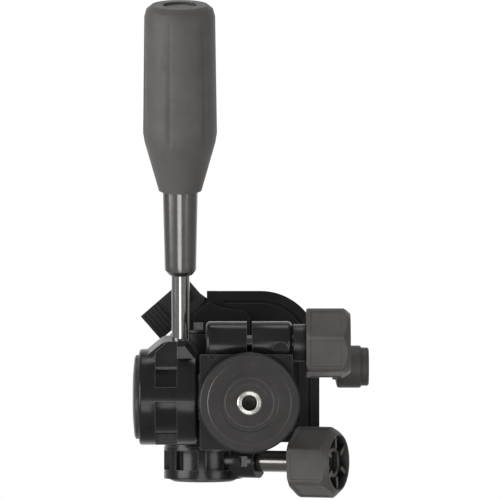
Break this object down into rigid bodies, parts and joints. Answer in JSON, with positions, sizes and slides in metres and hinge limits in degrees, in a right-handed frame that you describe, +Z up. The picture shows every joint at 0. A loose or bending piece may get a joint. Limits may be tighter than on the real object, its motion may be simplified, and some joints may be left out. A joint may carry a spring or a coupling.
{
  "type": "tripod pan and tilt head",
  "caption": "Three-way tripod head with a pan handle, two side lock knobs, a side-tilting camera platform and a sliding camera plate.",
  "frame": {"origin": "centre of the tripod socket's mouth, on the underside of the base disc", "axes": "+Z up out of the tripod, +Y to the camera's front, +X to the operator's right; the pan handle points to -Y"},
  "size_m": [0.1253, 0.2597, 0.1542],
  "materials": {
    "casting": "satin",
    "disc": "satin",
    "black_steel": "satin",
    "bright_steel": "satin",
    "knob": "matte",
    "small_knob": "matte",
    "bearing": "matte",
    "grip": "matte",
    "sleeve": "gloss",
    "rod": "gloss",
    "plate_metal": "satin",
    "vial": "gloss"
  },
  "bodies": {
    "base": {"base_disc": "disc", "socket_insert": "bright_steel", "pan_spindle": "black_steel", "pan_thrust_washer": "bearing"},
    "pan": {"pan_body": "casting", "pan_retainer": "black_steel", "retainer_screws": "bright_steel", "pan_clamp_nut": "bright_steel", "tilt_shaft": "bright_steel", "tilt_shaft_nut": "bright_steel", "tilt_shaft_cap": "knob", "tilt_thrust_washer": "bearing"},
    "pan_knob": {"pan_knob_grip": "knob", "pan_knob_screw": "bright_steel", "pan_knob_collar": "knob"},
    "tilt": {"tilt_drum": "casting", "tilt_bushes": "bearing", "tilt_end_cap": "disc", "side_housing": "casting", "housing_screws": "bright_steel", "side_bushes": "bearing", "side_end_cap": "disc"},
    "handle": {"handle_rod": "rod", "handle_sleeve": "sleeve", "handle_grip": "grip", "handle_end_cap": "grip", "tilt_brake_pad": "bearing"},
    "side_knob": {"side_knob_grip": "knob", "side_knob_neck": "knob", "side_knob_screw": "bright_steel", "side_brake_pad": "bearing"},
    "platform": {"side_shaft": "bright_steel", "side_shaft_bolt": "bright_steel", "side_shaft_washer": "black_steel", "platform_body": "casting", "plate_stop_screw": "bright_steel", "bubble_housing": "knob", "bubble_vial": "vial", "lever_pin": "bright_steel", "lever_spring": "black_steel"},
    "lever": {"release_lever": "black_steel"},
    "shoe": {"plate_shoe": "plate_metal"},
    "plate_knob": {"plate_knob_grip": "small_knob", "plate_knob_cap": "small_knob", "plate_knob_collar": "knob", "plate_knob_screw": "bright_steel"},
    "plate": {"camera_plate": "plate_metal", "plate_pad": "grip", "screw_clip": "black_steel"},
    "stud": {"camera_screw": "bright_steel"}
  },
  "joints": [
    {"name": "pan_turn", "type": "hinge", "parent": "base", "child": "pan", "pos_m": [0, 0, 0.018], "axis": [0, 0, 1], "continuous": true},
    {"name": "pan_knob_turn", "type": "hinge", "parent": "pan", "child": "pan_knob", "pos_m": [0.04, -0.0305, 0.021], "axis": [-1, 0, 0], "range_deg": [0, 90]},
    {"name": "tilt_swing", "type": "hinge", "parent": "pan", "child": "tilt", "pos_m": [-0.0358, -0.002, 0.038], "axis": [1, 0, 0], "range_deg": [-60, 35]},
    {"name": "handle_twist", "type": "hinge", "parent": "tilt", "child": "handle", "pos_m": [-0.0358, -0.09944, 0.0155], "axis": [0, 0.9744, 0.225], "range_deg": [0, 60]},
    {"name": "side_knob_turn", "type": "hinge", "parent": "tilt", "child": "side_knob", "pos_m": [0.03984, 0.033, 0.05665], "axis": [-0.9205, 0, 0.3907], "range_deg": [0, 60]},
    {"name": "side_tilt_swing", "type": "hinge", "parent": "tilt", "child": "platform", "pos_m": [-0.0246, 0, 0.084], "axis": [0, 1, 0], "range_deg": [-90, 25]},
    {"name": "lever_swing", "type": "hinge", "parent": "platform", "child": "lever", "pos_m": [-0.034, -0.0534, 0.113], "axis": [0, 0, 1], "range_deg": [0, 50], "stiffness_Nm_per_rad": 0.04, "springref_deg": -22.92},
    {"name": "plate_knob_turn", "type": "hinge", "parent": "platform", "child": "plate_knob", "pos_m": [0.055, -0.016, 0.115], "axis": [1, 0, 0], "range_deg": [0, 540]},
    {"name": "shoe_slide", "type": "slide", "parent": "platform", "child": "shoe", "axis": [1, 0, 0], "range_m": [0, 0.00119]},
    {"name": "plate_slide", "type": "slide", "parent": "platform", "child": "plate", "axis": [0, 1, 0], "range_m": [-0.012, 0.012]},
    {"name": "stud_turn", "type": "hinge", "parent": "plate", "child": "stud", "pos_m": [0.0018, -0.016, 0.118], "axis": [0, 0, 1], "continuous": true}
  ],
  "couplings": [
    {"joint": "plate_knob_turn", "follows": "shoe_slide", "rad_per_m": 7854}
  ]
}
